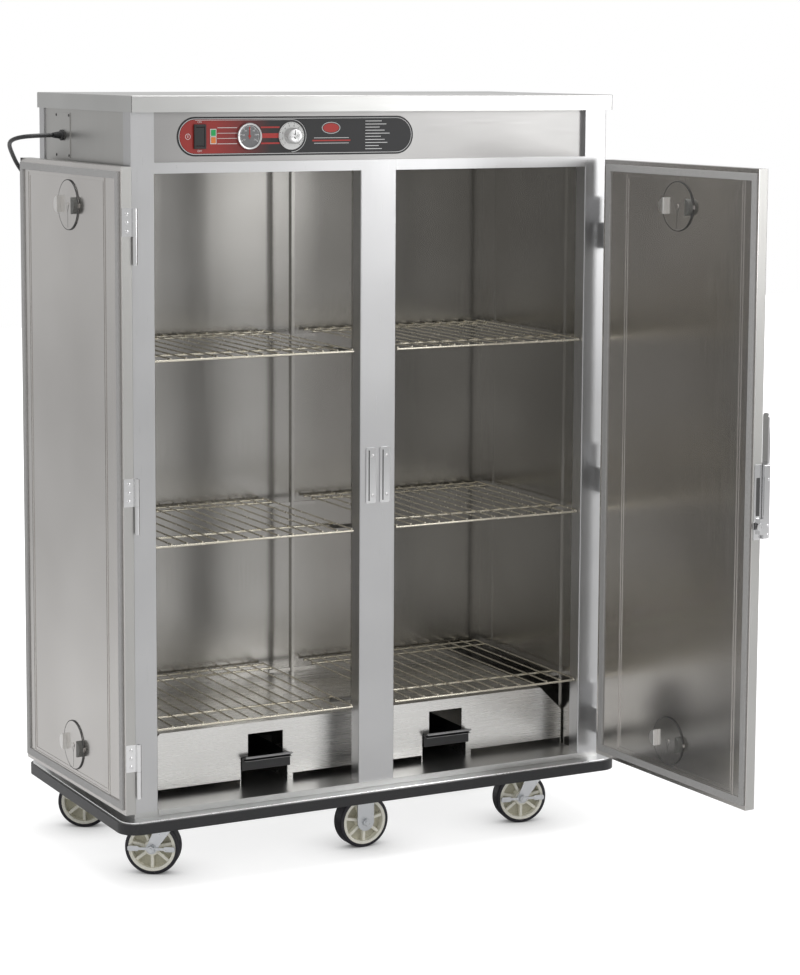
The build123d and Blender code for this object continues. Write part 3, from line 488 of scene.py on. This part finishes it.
add_line(bm, stadium(label_left + 7.5, field_end + 2, label_half - 7.5)[:left_half], 1.0, closed=False)
for z, wide in ((18.5, 1.2), (-17.0, 1.2), (6.5, 1.0), (-5.0, 1.0)):
    add_patch(bm, 214, 262, z, z + wide)
power_mark_x = 143
add_line(bm, oval(power_mark_x, control_z, 6, 6, 24), 1.0)
add_patch(bm, power_mark_x - 0.6, power_mark_x + 0.6, -2.5, 3.5)
rules, rule_pitch, rule_left = 10, 7, 582
for i in range(rules):
    half = 33 - abs(i - 4.5) * 1.5
    length = 2 * half * (0.8 + 0.2 * sin(i * 2.1))
    add_patch(bm, rule_left, rule_left + length, 31 - i * rule_pitch, 32.6 - i * rule_pitch)
add_line(bm, oval(badge_x, badge_z, 22.5, 12.5, 48), 1.2)
add_patch(bm, 452, 540, -6.0, -4.8)
add_patch(bm, 452, 540, -18.0, -16.8)
link_mesh("overlay_white_print", bm, print_white)
bm = bmesh.new()
for z in (18.5, -17.0):
    add_patch(bm, 320, 366, z - 1.0, z + 2.6)
add_patch(bm, 318, 372, -4.5, 6.0)
add_patch(bm, 448, 544, -13.0, -9.8)
add_flat(bm, oval(badge_x, badge_z, 20, 10.3, 48), badge_lift)
link_mesh("overlay_red_print", bm, print_red)

# Rocker: a black housing of four bars round the rocker, with ON above and OFF
# below.
bar_front, bar_bevel = 8.2, 0.6
bm = bmesh.new()
for x0, x1, z0, z1 in ((159.0, 183.0, 21.5, 27.0), (159.0, 183.0, -27.0, -21.5),
                       (156.5, 160.4, -27.0, 27.0), (181.6, 185.5, -27.0, 27.0)):
    add_box(bm, x0, x1, bar_front, label_face, control_z + z0, control_z + z1, bar_bevel)
link_mesh("rocker_housing", bm, black_plastic)


def add_word(name, word, x, z, size, face, material, body="root"):
    # A printed word or number that stands upright and faces forward.
    data = bpy.data.curves.new(name, "FONT")
    data.body = word
    data.size = size
    data.align_x = "CENTER"
    data.align_y = "CENTER"
    holder = bpy.data.objects.new(name + "_draft", data)
    bpy.context.collection.objects.link(holder)
    bpy.context.view_layer.update()
    draft = bpy.data.meshes.new_from_object(holder.evaluated_get(bpy.context.evaluated_depsgraph_get()))
    bpy.data.objects.remove(holder)
    bm = bmesh.new()
    bm.from_mesh(draft)
    bpy.data.meshes.remove(draft)
    upright = Matrix.Translation((x, face, z)) @ Matrix.Rotation(pi / 2, 4, "X")
    return link_mesh(name, bm, material, body, millimetres @ upright)


word_rise, word_size, word_face = 32.0, 6.5, label_face - 0.15
add_word("word_on", "ON", switch_x, control_z + word_rise, word_size, word_face, print_white)
add_word("word_off", "OFF", switch_x, control_z - word_rise, word_size, word_face, print_white)

# Indicator lenses: green over amber in a white frame. Both are plain blocks
# with softened edges.
green = coated("lens_green", (0.01, 0.36, 0.09), (0.015, 0.42, 0.11), 0.2, 500, 0.0, 0.4)
amber = coated("lens_amber", (0.75, 0.20, 0.04), (0.8, 0.24, 0.05), 0.2, 500, 0.0, 0.4)
lens_high = 13.6
for name, material, rise in (("lens_green", green, 1.4), ("lens_amber", amber, -15.0)):
    bm = bmesh.new()
    low = control_z + rise
    add_box(bm, 197.8, 209.2, 10.0, 11.0, low, low + lens_high, 0.4)
    link_mesh(name, bm, material)

# Dial thermometer: grey dial with a ring of strokes and numbers in a bright
# bezel.
dial_grey = coated("dial_grey", (0.16, 0.16, 0.165), (0.2, 0.2, 0.205), 0.4, 500, 0.0)
number_radius, number_face = 15.5, 9.72
bm = bmesh.new()
add_turned(bm, ((0.0, 0.0), (0.0, 25.4)), (dial_x, 9.85, control_z), (0, -1, 0), 48)
link_mesh("dial_face", bm, dial_grey)
bm = bmesh.new()
for i in range(31):
    inner, half_wide = (21.5, 0.45) if i % 5 else (19.5, 0.7)
    add_stroke(bm, dial_x, 9.75, radians(-120 + i * 8), inner, 24, half_wide)
link_mesh("dial_strokes", bm, print_white)
for i in range(7):
    a = radians(-120 + i * 40)
    add_word(f"dial_number_{i}", str(100 + 20 * i), dial_x + number_radius * sin(a),
             control_z + number_radius * cos(a), 4.4, number_face, print_white)
bm = bmesh.new()
add_turned(bm, ((0.0, 25.2), (0.6, 26.4), (0.6, 28.6), (-0.4, 29.6), (-6.0, 29.6)),
           (dial_x, 7.0, control_z), (0, -1, 0), 64)
link_mesh("dial_bezel", bm, silver)

# Thermostat knob: white skirt with black strokes and numbers, ribbed silver
# grip on top.
print_black = coated("print_black", (0.01, 0.01, 0.01), (0.014, 0.014, 0.014), 0.5, 500, 0.0)
skirt_front = label_face - 0.3 - 3.0
skirt_number_radius, rib_circle, grip_ribs = 23.2, 16.6, 24
bm = bmesh.new()
for i in range(37):
    add_stroke(bm, knob_x, skirt_front - 0.08, radians(-135 + i * 7.5), 28.6 if i % 4 else 27.0, 30.3, 0.45)
link_mesh("skirt_strokes", bm, print_black, "knob")
for i in range(10):
    a = radians(-135 + i * 30)
    add_word(f"skirt_number_{i}", str(i + 1), knob_x + skirt_number_radius * sin(a),
             control_z + skirt_number_radius * cos(a), 6.0, skirt_front - 0.1, print_black, "knob")
bm = bmesh.new()
grip = ((0.0, 18.6), (2.0, 17.2), (18.0, 16.9), (20.2, 15.2), (20.6, 12.0), (20.2, 0.0))
add_turned(bm, grip, (knob_x, skirt_front, control_z), (0, -1, 0), 48)
for i in range(grip_ribs):
    a = 2 * pi * i / grip_ribs
    foot = (knob_x + rib_circle * cos(a), skirt_front, control_z + rib_circle * sin(a))
    add_turned(bm, ((2.0, 0.0), (2.0, 1.1), (18.0, 1.0), (19.0, 0.0)), foot, (0, -1, 0), 6)
link_mesh("knob_grip", bm, silver, "knob")
bm = bmesh.new()
add_box(bm, knob_x - 0.8, knob_x + 0.8, skirt_front - 20.9, skirt_front - 20.2, control_z + 3, control_z + 13)
link_mesh("knob_pointer", bm, print_black, "knob")
dress(bright, "thermometer")
dress(coated("needle_red", (0.5, 0.02, 0.01), (0.55, 0.03, 0.02), 0.4), "thermometer_needle")

# Casters: cream spoked hubs inside the black tyres, a nut on each axle. Each
# is drawn with its kingpin at the origin and then turned to its heading.
cream = coated("cream_hub", (0.86, 0.84, 0.74), (0.92, 0.90, 0.80), 0.42, 300, 0.05)
# The pocket faces between the spokes are a darker copy of the cream: painted shade.
cream_painted_shade = coated("cream_hub_pocket_painted_shade", (0.50, 0.48, 0.38), (0.58, 0.56, 0.45), 0.55, 300, 0.05)
tyre_black = coated("tyre_black", (0.010, 0.009, 0.014), (0.022, 0.020, 0.028), 0.45, 300, 0.15)
wheel_radius, lead_out = 63.5, 45.0
inset_x, front_row, rear_row = 125, 78, depth - 52
casters = {
    "front_left": (inset_x, front_row, 145.9), "rear_left": (inset_x, rear_row, 150.0),
    "front_right": (width - inset_x, front_row, 168.4), "rear_right": (width - inset_x, rear_row, 200.0),
    "front_centre": (width / 2 - lead_out, front_row, 0.0),
    "rear_centre": (width / 2 - lead_out, rear_row, 0.0),
}
spokes = 7
plain_nut, brake_nut = 26.4, 30.0
rim_section = ((4.2, 47.4), (19.0, 47.8), (19.6, 48.4), (19.8, 51.0), (20.2, 54.2), (19.4, 55.4))
boss_section = ((4.2, 20.0), (17.0, 19.0), (19.0, 18.0), (22.1, 17.4), (22.1, 5.4))
nut_section = ((0.0, 9.5), (6.0, 9.5), (6.8, 8.4), (6.8, 4.8), (9.0, 4.6), (9.0, 0.0))
for corner, (x, y, heading) in casters.items():
    place = millimetres @ Matrix.Translation((x, y, 0)) @ Matrix.Rotation(radians(heading), 4, "Z")
    wheel_body = f"wheel_{corner}"
    fork_body = "root" if corner.endswith("centre") else f"fork_{corner}"
    dress(tyre_black, wheel_body)
    centre = Vector((lead_out, 0, wheel_radius))
    rim, pocket, nut = bmesh.new(), bmesh.new(), bmesh.new()
    for face in (-1, 1):
        axis = (0, face, 0)
        add_turned(rim, rim_section, centre, axis, 48)
        add_turned(rim, boss_section, centre, axis, 32)
        add_turned(pocket, ((4.5, 14.0), (4.5, 47.6)), centre, axis, 48)
        y0, y1 = sorted((face * 4.3, face * 16.5))
        for i in range(spokes):
            spoke = bmesh.new()
            add_box(spoke, -3.6, 3.6, y0, y1, 17.5, 48.0, 0.8)
            spoke.transform(Matrix.Translation(centre) @ Matrix.Rotation(2 * pi * (i + 0.5) / spokes, 4, "Y"))
            holder = bpy.data.meshes.new("spoke")
            spoke.to_mesh(holder)
            rim.from_mesh(holder)
            bpy.data.meshes.remove(holder)
            spoke.free()
        braked = face > 0 and corner in ("front_left", "front_right")
        nut_start = brake_nut if braked else plain_nut
        add_turned(nut, [(nut_start + a, r) for a, r in nut_section], centre, axis, 6)
    link_mesh(f"hub_{corner}", rim, cream, wheel_body, place)
    link_mesh(f"hub_pockets_{corner}", pocket, cream_painted_shade, wheel_body, place)
    link_mesh(f"axle_nut_{corner}", nut, zinc, fork_body, place)

# Doors: seams, half-moons and screws on the vents, hinges and latches. All is
# drawn on a left door that is shut, then mirrored and swung into place.
pin_out, pin_front = 3.5, 35.0
left_swing = Matrix.Rotation(radians(-268.3), 4, "Z")
right_swing = Matrix.Rotation(radians(93.0), 4, "Z")
left_pin = Matrix.Translation((-pin_out, -pin_front, 0))
right_pin = Matrix.Translation((width + pin_out, -pin_front, 0))
mirror = Matrix.Translation((width, 0, 0)) @ Matrix.Diagonal((-1, 1, 1, 1))
door_place = {
    "left": millimetres @ left_pin @ left_swing @ left_pin.inverted(),
    "right": millimetres @ right_pin @ right_swing @ right_pin.inverted() @ mirror,
}
door_x0, door_x1 = 0.5, 583.5
liner_face = -4.0
door_bottom, door_top = 184.0, 1625.5
seam_dark = coated("seam_shadow", (0.05, 0.05, 0.05), (0.07, 0.07, 0.07), 0.6, 400, 0.0)
# Half-moon scoops: the end that faces the light is painted light and the end that faces away is painted
# shade, so the two ends swap between the doors.
moon_painted_light = metal("moon_painted_light", (0.78, 0.77, 0.75), (0.84, 0.83, 0.81), 0.3, 0.4, (60, 60, 60), 0.0)
moon_painted_shade = coated("moon_painted_shade", (0.09, 0.09, 0.085), (0.13, 0.13, 0.12), 0.5, 300, 0.0)
moon_hinge = {"left": moon_painted_shade, "right": moon_painted_light}
moon_free = {"left": moon_painted_light, "right": moon_painted_shade}
vent_x = (door_x0 + door_x1) / 2
vent_face = liner_face + 0.3 + 2.5
vent_inset = 96
vent_marks = ((0, -52, 0, -16), (0, -16, -9, 4), (0, -16, 9, 4))
mark_half, mark_lift = 0.6, 0.1
moon_flat, moon_reach, moon_half = 40.6, 18.8, 19.0
moon_layers = ((0.1, 0.0), (9.4, 0.0), (10.4, 1.0))
moon_angles = [-pi / 2 + pi * i / 20 for i in range(21)]
hinge_rows = (282.0, 880.0, 1474.0)
screw_steps = (12, 31, 50)
leaf_face = -2.4
latch_low, latch_high = 804.0, 972.0
latch_outer = 593.5
roller = ((0, 8.5), (2.5, 8.5), (3.2, 7.6), (3.2, 4.0), (1.6, 3.6), (1.6, 0.0))
lever_x, lever_foot, lever_long = 570.5, latch_high - 30, 138
lever_face, lever_steps = -53.9, 24


def add_hinge_screws(bm, x, y, rise):
    for z in hinge_rows:
        for step in screw_steps:
            add_screw(bm, (x, y, z + rise * step), (-1, 0, 0), 4.2, 1.5)


for side, place in door_place.items():
    door = f"door_{side}"
    for level, z in (("upper", door_top - vent_inset), ("lower", door_bottom + vent_inset)):
        body = f"vent_{side}_{level}"
        bm = bmesh.new()
        add_turned(bm, ((0.06, 55.4), (0.06, 57.2), (-2.0, 57.6)), (vent_x, vent_face, z), (0, 1, 0), 64)
        for dx0, dz0, dx1, dz1 in vent_marks:
            along = Vector((dx1 - dx0, 0, dz1 - dz0)).normalized()
            across = Vector((-along.z, 0, along.x)) * mark_half
            ends = [Vector((vent_x + dx, vent_face + mark_lift, z + dz))
                    for dx, dz in ((dx0, dz0), (dx1, dz1))]
            corners = (ends[0] - across, ends[0] + across, ends[1] + across, ends[1] - across)
            bm.faces.new([bm.verts.new(c) for c in corners])
        link_mesh(f"vent_seam_{side}_{level}", bm, seam_dark, body, place)
        for end, material in ((-1, moon_hinge[side]), (1, moon_free[side])):
            bm = bmesh.new()
            rings = []
            for lift, trim in moon_layers:
                reach = moon_reach - 2 * trim
                arc = [(moon_flat + trim + reach * cos(a), (moon_half - trim) * sin(a)) for a in moon_angles]
                rings.append([bm.verts.new((vent_x + end * dx, vent_face + lift, z + dz)) for dx, dz in arc])
            count = len(moon_angles)
            for low, high in zip(rings, rings[1:]):
                for i in range(count):
                    j = (i + 1) % count
                    bm.faces.new((low[i], low[j], high[j], high[i]))
            bm.faces.new(rings[0])
            bm.faces.new(rings[-1])
            link_mesh(f"vent_moon_{side}_{level}_{'in' if end < 0 else 'out'}", bm, material, body, place)
    bm = bmesh.new()
    add_hinge_screws(bm, door_x0 + leaf_face, -17, 1)
    link_mesh(f"hinge_screws_{side}", bm, bright, door, place)
    bm = bmesh.new()
    add_hinge_screws(bm, leaf_face, 12, -1)
    post_place = millimetres if side == "left" else millimetres @ mirror
    link_mesh(f"post_hinge_screws_{side}", bm, bright, "root", post_place)
    # Latch: cover screws, edge plate with its slot, and the roller.
    bm = bmesh.new()
    for z in (latch_low + 9, latch_low + 30, latch_high - 34):
        add_screw(bm, (latch_outer - 0.2, -42, z), (1, 0, 0), 3.6, 1.4)
    add_box(bm, door_x1 - 0.5, door_x1 + 1.6, -29.0, -9.0, latch_low - 2, latch_high, 0.5)
    add_turned(bm, roller, (door_x1 + 10.2, -19.5, latch_low + 28), (1, 0, 0), 24)
    link_mesh(f"latch_trim_{side}", bm, bright, door, place)
    bm = bmesh.new()
    add_box(bm, door_x1 + 1.5, door_x1 + 2.0, -24.0, -14.0, latch_low + 52, latch_high - 30, 0.2)
    link_mesh(f"latch_slot_{side}", bm, seam_dark, door, place)
    # Lever: a rounded strip that narrows towards its tip and bows outward.
    bm = bmesh.new()
    previous = None
    for i in range(lever_steps + 1):
        t = i / lever_steps
        z = lever_foot + lever_long * t
        lean = lever_face - 2.5 * sin(pi * min(1, t * 1.15)) * t + 1.5 * t ** 4
        half = 9.5 - 3.0 * t + 1.2 * sin(pi * t)
        thick = 3.0 - 0.8 * t
        section = [(k, -thick * (1 - k * k) * 0.9) for k in (-1, -0.6, 0, 0.6, 1)]
        section += [(k, thick * 0.6) for k in (0.8, 0, -0.8)]
        row = [bm.verts.new((lever_x + half * k, lean + off, z)) for k, off in section]
        if previous:
            count = len(row)
            for a in range(count):
                b = (a + 1) % count
                bm.faces.new((previous[a], previous[b], row[b], row[a]))
        else:
            bm.faces.new(row)
        previous = row
    bm.faces.new(previous)
    link_mesh(f"lever_grip_{side}", bm, bright, f"lever_{side}", place)

# Trays: a rolled edge along the pull lip, and a thin strip of the same metal
# under it. Their grey metal is a painted highlight on the black tray's lip.
lip_painted_highlight = metal("tray_lip_painted_highlight", (0.34, 0.34, 0.34), (0.42, 0.42, 0.42), 0.3, 0.4, (60, 60, 60), 0.01)
tray_middles = {"left": 370.0, "right": 850.0}
lip_half, strip_half = 61.0, 60.0
for side, x in tray_middles.items():
    bm = bmesh.new()
    add_box(bm, x - lip_half, x + lip_half, 78.5, 82.5, 244.8, 249.6, 1.6)
    add_box(bm, x - strip_half, x + strip_half, 80.5, 94.0, 238.5, 239.4, 0.3)
    link_mesh(f"tray_lip_painted_highlight_{side}", bm, lip_painted_highlight, f"tray_{side}")

# Small trim: screws and grooves on the strikes of the centre post, screws on
# the cord plate, rivets on the heater cover, and the seams of the deck's lip.
strikes = (width / 2 - 18, width / 2 + 18)
bm = bmesh.new()
for x in strikes:
    for z in (858, 950):
        add_screw(bm, (x + 4, -3.0, z), (0, -1, 0), 4.0, 1.4)
link_mesh("strike_screws", bm, silver)
bm = bmesh.new()
for x in strikes:
    add_box(bm, x - 6.5, x - 3.5, -3.4, -2.8, 845, 963, 0.2)
link_mesh("strike_grooves", bm, seam_dark)
bm = bmesh.new()
for dy in (-40, 40):
    for dz in (-46, 46):
        add_screw(bm, (plate_face, ey + dy, ez + dz), (-1, 0, 0), 3.4, 1.2)
link_mesh("plate_screws", bm, seam_dark)
cover_face, rivet_inset = 100, 48.0
bm = bmesh.new()
for x in (rivet_inset, width - rivet_inset):
    for z in (215, 240):
        add_screw(bm, (x, cover_face, z), (0, -1, 0), 3.4, 1.2)
link_mesh("cover_rivets", bm, silver)
lip_out, seam_bottom, seam_top = 3.0, 1742.0, 1777.6
bm = bmesh.new()
for x in (-lip_out, width + lip_out):
    add_box(bm, x - 0.4, x + 0.4, -20.4, -19.6, seam_bottom, seam_top)
link_mesh("deck_seams", bm, seam_dark)

# Floor, backdrop and light: a pale studio. The camera sees the floor glow, so
# that it fades into the white world; the glow's colour is an occlusion value,
# a painted contact shadow that darkens it close to what stands on it.
floor_mesh = bmesh.new()
bmesh.ops.create_grid(floor_mesh, x_segments=1, y_segments=1, size=12)
floor = link_mesh("studio_floor", floor_mesh, body=None, place=Matrix())
pale, nodes, links = new_material("studio_white")
shader = nodes["Principled BSDF"]
shader.inputs["Base Color"].default_value = (0.8, 0.8, 0.8, 1)
shader.inputs["Roughness"].default_value = 0.9
glow = nodes.new("ShaderNodeEmission")
glow.inputs["Strength"].default_value = 1.5
# The occlusion below darkens the floor's glow near what stands on it: a painted contact shadow.
painted_contact_shadow = nodes.new("ShaderNodeAmbientOcclusion")
painted_contact_shadow.samples = 16
painted_contact_shadow.inputs["Distance"].default_value = 0.13
links.new(painted_contact_shadow.outputs["Color"], glow.inputs["Color"])
mixer = nodes.new("ShaderNodeMixShader")
ray = nodes.new("ShaderNodeLightPath")
output = nodes["Material Output"]
where = nodes.new("ShaderNodeNewGeometry")
away = nodes.new("ShaderNodeVectorMath")
away.operation = "LENGTH"
links.new(where.outputs["Position"], away.inputs[0])
fade = nodes.new("ShaderNodeMapRange")
fade.inputs["From Min"].default_value = 1.3
fade.inputs["From Max"].default_value = 3.0
fade.inputs["To Min"].default_value = 0.55
fade.inputs["To Max"].default_value = 1.0
links.new(away.outputs["Value"], fade.inputs["Value"])
share = nodes.new("ShaderNodeMath")
share.operation = "MULTIPLY"
links.new(fade.outputs["Result"], share.inputs[1])
links.new(ray.outputs["Is Camera Ray"], share.inputs[0])
links.new(share.outputs["Value"], mixer.inputs["Fac"])
links.new(shader.outputs["BSDF"], mixer.inputs[1])
links.new(glow.outputs["Emission"], mixer.inputs[2])
links.new(mixer.outputs["Shader"], output.inputs["Surface"])
floor.data.materials.append(pale)

world = bpy.data.worlds.new("studio")
world.use_nodes = True
bpy.context.scene.world = world
w_nodes, w_links = world.node_tree.nodes, world.node_tree.links
background = w_nodes["Background"]
background.inputs["Color"].default_value = (1, 1, 1, 1)
w_path = w_nodes.new("ShaderNodeLightPath")
w_strength = w_nodes.new("ShaderNodeMapRange")
w_strength.inputs["To Min"].default_value = 0.60
w_strength.inputs["To Max"].default_value = 1.0
w_links.new(w_path.outputs["Is Camera Ray"], w_strength.inputs["Value"])
w_links.new(w_strength.outputs["Result"], background.inputs["Strength"])


def soft_light(name, place, target, size, power):
    # An oblong lamp that faces a target, in metres and watts.
    data = bpy.data.lights.new(name, "AREA")
    data.shape = "RECTANGLE"
    data.size, data.size_y = size
    data.energy = power
    lamp = bpy.data.objects.new(name, data)
    lamp.location = place
    lamp.rotation_euler = (Vector(target) - Vector(place)).to_track_quat("-Z", "Y").to_euler()
    bpy.context.collection.objects.link(lamp)


soft_light("key_light", (-3.2, -4.0, 3.6), (0, 0, 0.9), (2.0, 2.0), 28)
soft_light("front_light", (3.0, -4.2, 2.2), (0, 0, 0.9), (1.6, 2.4), 44)
soft_light("top_light", (0, 0.2, 4.2), (0, 0, 0), (3.0, 2.4), 90)
